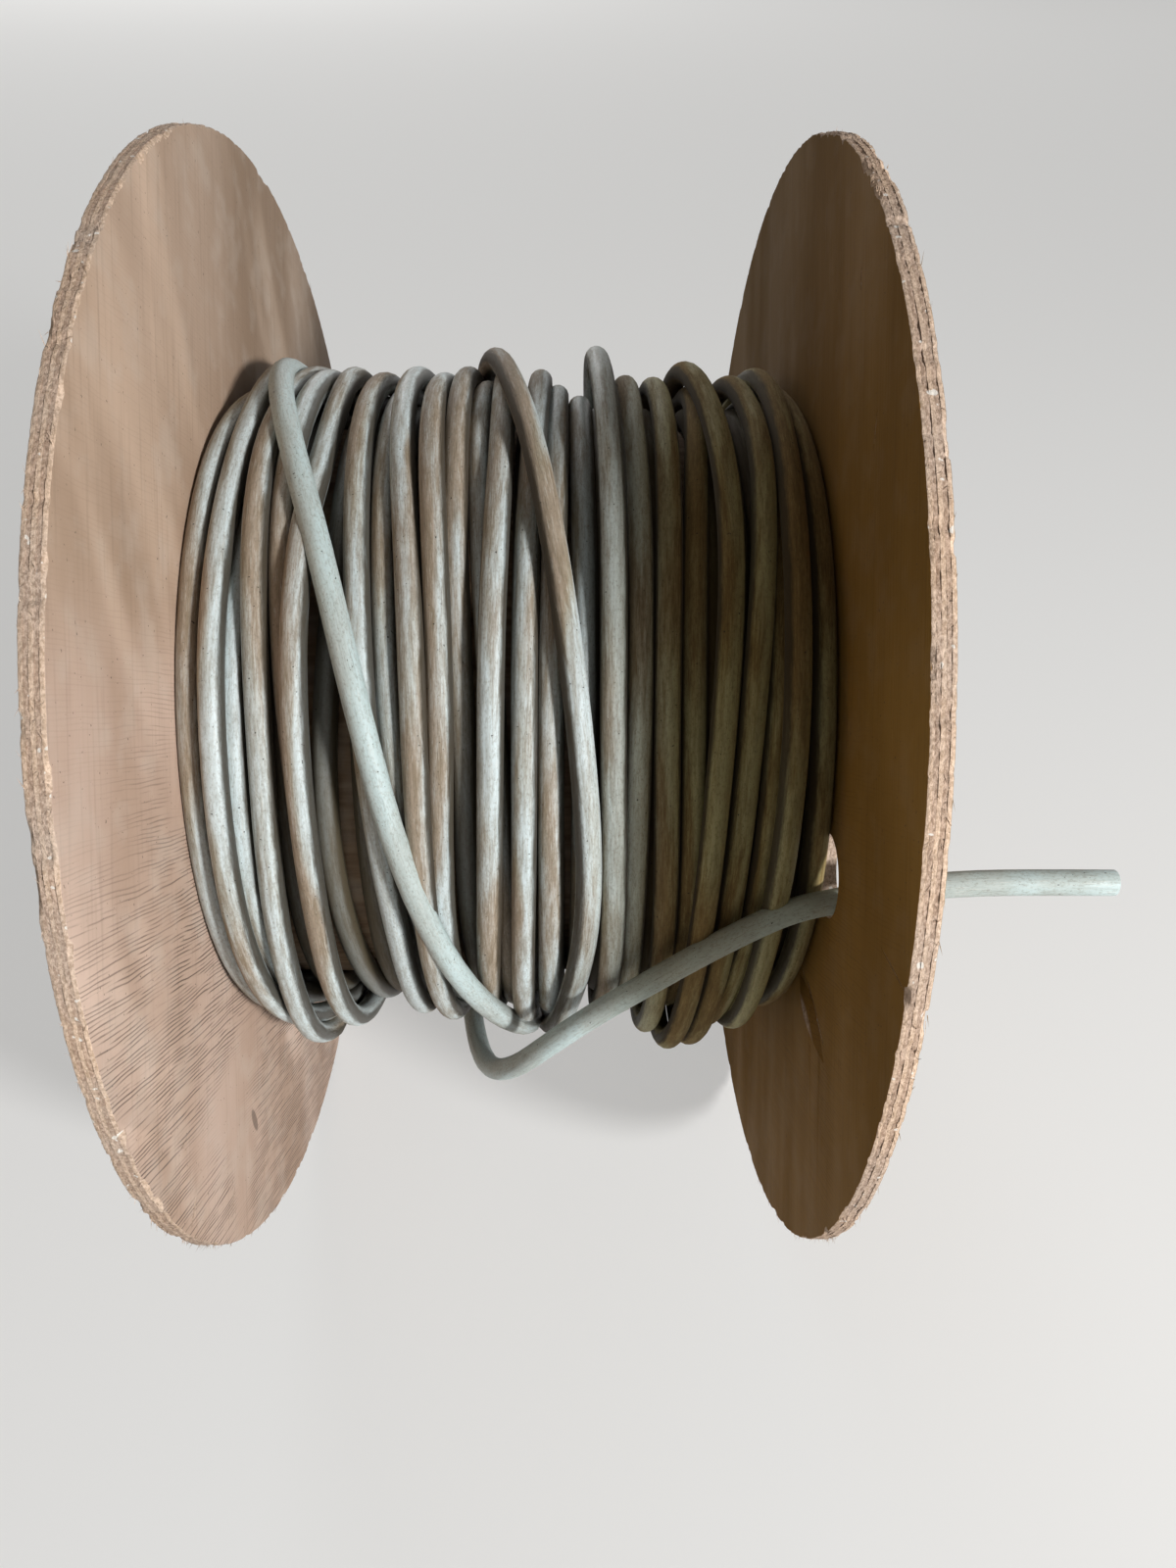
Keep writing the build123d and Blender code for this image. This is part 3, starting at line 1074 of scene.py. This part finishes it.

# %% [markdown]
# ## The cable's sheath
#
# Old grey PVC picks up dirt along its length, scuffed pale on the outside, with fine scratches and black
# specks, and painted shade makes one side of each turn tanner. All of that runs along the cable, so the
# noise is stretched by the attribute sheath: many grains a metre across the cable and fewer along it. The
# last stretch was never wound as long, and is cleaner and bluer.

# %% Places on the cable
clean_length = 1.62
sheath, tree, shader = new_material("dusty_grey_sheath")
place = object_place(tree)
on_cable = add_node(tree, "ShaderNodeAttribute", attribute_name="sheath").outputs["Vector"]
cable_parts = parts(tree, on_cable)
clean_from = cable_length - clean_length
clean = threshold(tree, cable_parts["X"], clean_from - 0.05, clean_from + 0.15)


def less_when_clean(mask, left):
    """A mask of which only the share left stays on the clean last stretch."""
    return times(tree, mask, threshold(tree, clean, 0, 1, 1.0, left))


streak = stretched_noise(tree, on_cable, (45, 420, 420), 5.0, 0.75)
scratch = stretched_noise(tree, on_cable, (110, 1700, 1700), 3.0, 0.65)
print("the clean stretch begins", round(clean_from, 2), "m along the cable")

# %% [markdown]
# Where the sheath is dirty is a sum: smears along the cable, its streaks, a slow change from turn to turn,
# and painted shade that makes one side of each turn a little tanner. A soft threshold turns the sum into a
# mask, which blends the grey of the sheath and the tan of the dirt and of the painted shade.

# %% Grey sheath, tan dirt and painted side shade
smear = stretched_noise(tree, on_cable, (12, 110, 110), 4.0)
# Painted shade: one side of each turn is a little tanner.
side_shade = threshold(tree, cable_parts["Y"], -5 * mm, 5 * mm, -0.1, 0.1)
tone = stretched_noise(tree, place, (45, 7, 7), 1.0)
dirt_and_shade_sum = plus(tree, plus(tree, smear, side_shade), times(tree, streak, 0.6))
dirt_and_shade_sum = plus(tree, dirt_and_shade_sum, threshold(tree, tone, 0.3, 0.7, -0.28, 0.2))
dirt_and_side_shade = less_when_clean(threshold(tree, dirt_and_shade_sum, 0.5, 1.0), 0.3)

grey = blend(tree, threshold(tree, streak, 0.35, 0.65), (0.57, 0.65, 0.66), (0.42, 0.46, 0.45))
grey = blend(tree, clean, grey, blend(tree, streak, (0.54, 0.66, 0.665), (0.42, 0.5, 0.49)))
tan_light = blend(tree, threshold(tree, tone, 0.42, 0.58), (0.34, 0.3, 0.2), (0.37, 0.3, 0.23))
tan = blend(tree, threshold(tree, streak, 0.3, 0.75), tan_light, (0.2, 0.155, 0.1))
colour = blend(tree, dirt_and_side_shade, grey, tan)
print("sheath with", len(tree.nodes), "nodes so far")

# %% [markdown]
# Scratches are pale where they are fresh and dark where dirt has settled in them, and gritty dust lies
# over everything.

# %% Scratches and grit
pale_scratch = times(tree, threshold(tree, scratch, 0.56, 0.68), 0.4)
colour = blend(tree, pale_scratch, colour, (0.6, 0.6, 0.55))
dark_scratch = times(tree, threshold(tree, scratch, 0.42, 0.3), 0.4)
colour = blend(tree, dark_scratch, colour, (0.1, 0.08, 0.055))
grit = stretched_noise(tree, on_cable, (500, 900, 900), 3.0, 0.8)
colour = blend(tree, threshold(tree, grit, 0.48, 0.68, 0.0, 0.42), colour, (0.17, 0.14, 0.1))
print("sheath with", len(tree.nodes), "nodes so far")

# %% [markdown]
# Painted shade lies between two turns: the sides of the sheath are dark, and so is all that lies deep in
# the coil. At the right, as far as the flange, painted shade makes the winding darker and browner, where
# the right flange shades it.

# %% Painted shade in the crevices, deep in the coil and towards the right flange
# Painted shade between two turns: the sides of the sheath are dark.
sideways = work_out(tree, "DIVIDE", work_out(tree, "ABSOLUTE", cable_parts["Y"]), cable_radius)
crevice_shade = plus(tree, sideways, times(tree, streak, 0.25))
crevice_shade = less_when_clean(threshold(tree, crevice_shade, 0.84, 1.08, 0.0, 0.92), 0.0)
colour = blend(tree, crevice_shade, colour, (0.035, 0.027, 0.016))

# Painted shade: all that lies deep in the coil is dark.
beside_axle = vector_math(tree, "MULTIPLY", place, (0, 1, 1))
from_axle = vector_math(tree, "DISTANCE", beside_axle, (0, 0, axle_height))
deep_coil_shade = threshold(tree, from_axle, 168 * mm, 181 * mm, 0.85, 0.0)
colour = blend(tree, deep_coil_shade, colour, (0.07, 0.055, 0.032))

# Painted shade of the right flange: the winding towards it is darker and browner, the clean end less so.
across_drum = parts(tree, place)["X"]
right_flange_shade = less_when_clean(threshold(tree, across_drum, 0.03, 0.08, 0.0, 0.9), 0.45)
before_flange = threshold(tree, across_drum, inner_face, outer_face, 1.0, 0.0)
right_flange_shade = times(tree, right_flange_shade, before_flange)
colour = blend(tree, right_flange_shade, colour, (0.56, 0.42, 0.13), "MULTIPLY")
specks = times(tree, from_group(tree, grime, place)["Specks"], 0.85)
colour = blend(tree, specks, colour, (0.02, 0.015, 0.01))
print("sheath with", len(tree.nodes), "nodes so far")

# %% [markdown]
# The bare end was sawn off, so its face shows what is inside: the grey sheath, a filling, and three cores
# with copper in them. The attribute sheath also says how far a point lies from the cable's middle, and
# on the tube that is always the cable's radius, so anything nearer is the cut face.

# %% The cut face
core_reach = 2.45 * mm
filling_radius, core_radius, copper_radius = 4.8 * mm, 1.95 * mm, 1.2 * mm
core_tones = ((0.35, 0.33, 0.3), (0.16, 0.08, 0.05), (0.05, 0.05, 0.055))


def spot(distance, radius):
    """A mask of what is nearer than a radius, with a soft edge of a tenth of a millimetre."""
    return threshold(tree, distance, radius - 0.05 * mm, radius + 0.05 * mm, 1.0, 0.0)


cut_inputs = {1: cable_parts["Y"], 2: cable_parts["Z"]}
cut_place = add_node(tree, "ShaderNodeCombineXYZ", cut_inputs).outputs[0]
filling = spot(vector_math(tree, "LENGTH", cut_place), filling_radius)
colour = blend(tree, filling, colour, (0.09, 0.085, 0.08))
for number, core_tone in enumerate(core_tones):
    turned = math.radians(30 + 120 * number)
    core_middle = (0, core_reach * math.cos(turned), core_reach * math.sin(turned))
    from_core = vector_math(tree, "DISTANCE", cut_place, core_middle)
    colour = blend(tree, spot(from_core, core_radius), colour, core_tone)
    colour = blend(tree, spot(from_core, copper_radius), colour, (0.48, 0.2, 0.1))
tree.links.new(colour, shader.inputs["Base Color"])
print(len(core_tones), "cores in the cut face")

# %% [markdown]
# Dust takes the shine off the sheath, and it is duller still where the right flange's painted shade lies.
# Scratches and streaks also show as relief.

# %% The sheath's shine and relief
roughness = threshold(tree, dirt_and_side_shade, 0, 1, 0.46, 0.72)
roughness = plus(tree, roughness, times(tree, right_flange_shade, 0.22))
tree.links.new(roughness, shader.inputs["Roughness"])
shader.inputs["Specular IOR Level"].default_value = 0.3
add_bump(tree, shader, plus(tree, scratch, times(tree, streak, 1.5)), 0.5, 0.2 * mm)
cable.data.materials.append(sheath)
print("sheath finished with", len(tree.nodes), "nodes")

# %% [markdown]
# ## The barrel and the steel
#
# The barrel and the tie rods are hidden under the cable, and the nuts and washers sit on the outer faces.
# Their CAD shapes are right as they are, so they only get a finish: brown board for the barrel, and dull
# zinc, cloudy and a little rusty, for the steel.

# %% Barrel board
barrel_board, tree, shader = new_material("brown_barrel_board")
place = object_place(tree)
fibres_in_board = stretched_noise(tree, place, (30, 260, 260), 4.0)
dust = times(tree, from_group(tree, grime, place)["Dust"], 0.4)
colour = blend(tree, threshold(tree, fibres_in_board, 0.35, 0.65), (0.34, 0.23, 0.14), (0.22, 0.14, 0.08))
colour = blend(tree, dust, colour, (0.42, 0.36, 0.29))
tree.links.new(colour, shader.inputs["Base Color"])
shader.inputs["Roughness"].default_value = 0.85
add_bump(tree, shader, fibres_in_board, 0.4, 0.3 * mm)
print("barrel board with", len(tree.nodes), "nodes")

# %% Dull zinc
zinc, tree, shader = new_material("dull_zinc")
place = object_place(tree)
cloud = stretched_noise(tree, place, (160, 160, 160), 4.0)
rust_place = stretched_noise(tree, place, (70, 70, 70), 5.0, 0.65)
rust = threshold(tree, rust_place, 0.56, 0.68)
colour = blend(tree, cloud, (0.5, 0.51, 0.51), (0.66, 0.67, 0.67))
colour = blend(tree, rust, colour, (0.24, 0.1, 0.045))
tree.links.new(colour, shader.inputs["Base Color"])
tree.links.new(threshold(tree, rust, 0, 1, 1.0, 0.1), shader.inputs["Metallic"])
tree.links.new(threshold(tree, plus(tree, cloud, rust), 0.2, 1.2, 0.38, 0.8), shader.inputs["Roughness"])
add_bump(tree, shader, rust_place, 0.3, 0.2 * mm)

for name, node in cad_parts.items():
    finish = barrel_board if name == "barrel_tube" else zinc
    node.data.materials.clear()
    node.data.materials.append(finish)
print("zinc with", len(tree.nodes), "nodes")

# %% [markdown]
# ## Floor, lights and background
#
# The floor and the world both look white in the picture without lighting the drum any more for it. Light
# Path tells the rays apart: those that come from the camera, a mirror or glass see a paler floor and a
# white background, and the light itself doesn't.

# %% Floor
bpy.ops.object.select_all(action="DESELECT")
bpy.ops.mesh.primitive_plane_add(size=60, location=(0, 0, 0))
floor = bpy.context.object
floor.name = "floor"


def seen_rays(tree):
    """1 for rays that show something in the picture, and 0 for those that only bring light."""
    rays = add_node(tree, "ShaderNodeLightPath").outputs
    seen = plus(tree, rays["Is Camera Ray"], rays["Is Glossy Ray"])
    return work_out(tree, "MINIMUM", plus(tree, seen, rays["Is Transmission Ray"]), 1.0)


def mix_surface(tree, share, first, second, output_name):
    """Mix two shaders by a share of the second, and make that the surface."""
    mixed = add_node(tree, "ShaderNodeMixShader", {0: share, 1: first.outputs[0], 2: second.outputs[0]})
    tree.links.new(mixed.outputs[0], tree.nodes[output_name].inputs["Surface"])


floor_paint, tree, shader = new_material("pale_floor")
shader.inputs["Base Color"].default_value = (0.78, 0.775, 0.76, 1)
shader.inputs["Roughness"].default_value = 0.9
glow = add_node(tree, "ShaderNodeEmission", {"Color": (0.95, 0.95, 0.94, 1), "Strength": 1.0})
mix_surface(tree, times(tree, seen_rays(tree), 0.45), shader, glow, "Material Output")
floor.data.materials.append(floor_paint)
print("floor", [round(length, 1) for length in floor.dimensions], "m")

# %% [markdown]
# One soft lamp stands low at the front right, where the photograph's light comes from, so the right
# flange shades the right third of the coil. A large one, far behind the drum, lights its upper edges from
# the back, as the sky does there. The world fills the shade faintly.


# %% Lights and world
def round_lamp(name, direction, distance, size, power):
    """A round soft lamp, turned towards the drum's middle from a distance in metres."""
    lamp_data = bpy.data.lights.new(name, "AREA")
    lamp_data.shape = "DISK"
    lamp_data.size = size
    lamp_data.energy = power
    lamp = bpy.data.objects.new(name, lamp_data)
    away = Vector(direction).normalized()
    lamp.location = Vector((0, 0, axle_height)) + distance * away
    lamp.rotation_euler = (-away).to_track_quat("-Z", "Y").to_euler()
    bpy.context.scene.collection.objects.link(lamp)
    print(name, "stands at", [round(value, 2) for value in lamp.location])


round_lamp("key_light", (1, -1.114, 0.567), distance=2.6, size=0.35, power=74)
round_lamp("back_light", (-0.3, 1, 0.42), distance=12, size=5, power=300)

world = bpy.data.worlds.new("studio")
bpy.context.scene.world = world
world.use_nodes = True
world_tree = world.node_tree
fill = world_tree.nodes["Background"]
fill.inputs["Color"].default_value = (1, 0.94, 0.86, 1)
fill.inputs["Strength"].default_value = 0.12
white = add_node(world_tree, "ShaderNodeBackground", {"Color": (1, 1, 1, 1), "Strength": 1.0})
mix_surface(world_tree, seen_rays(world_tree), fill, white, "World Output")
bpy.context.scene.view_settings.view_transform = "Standard"
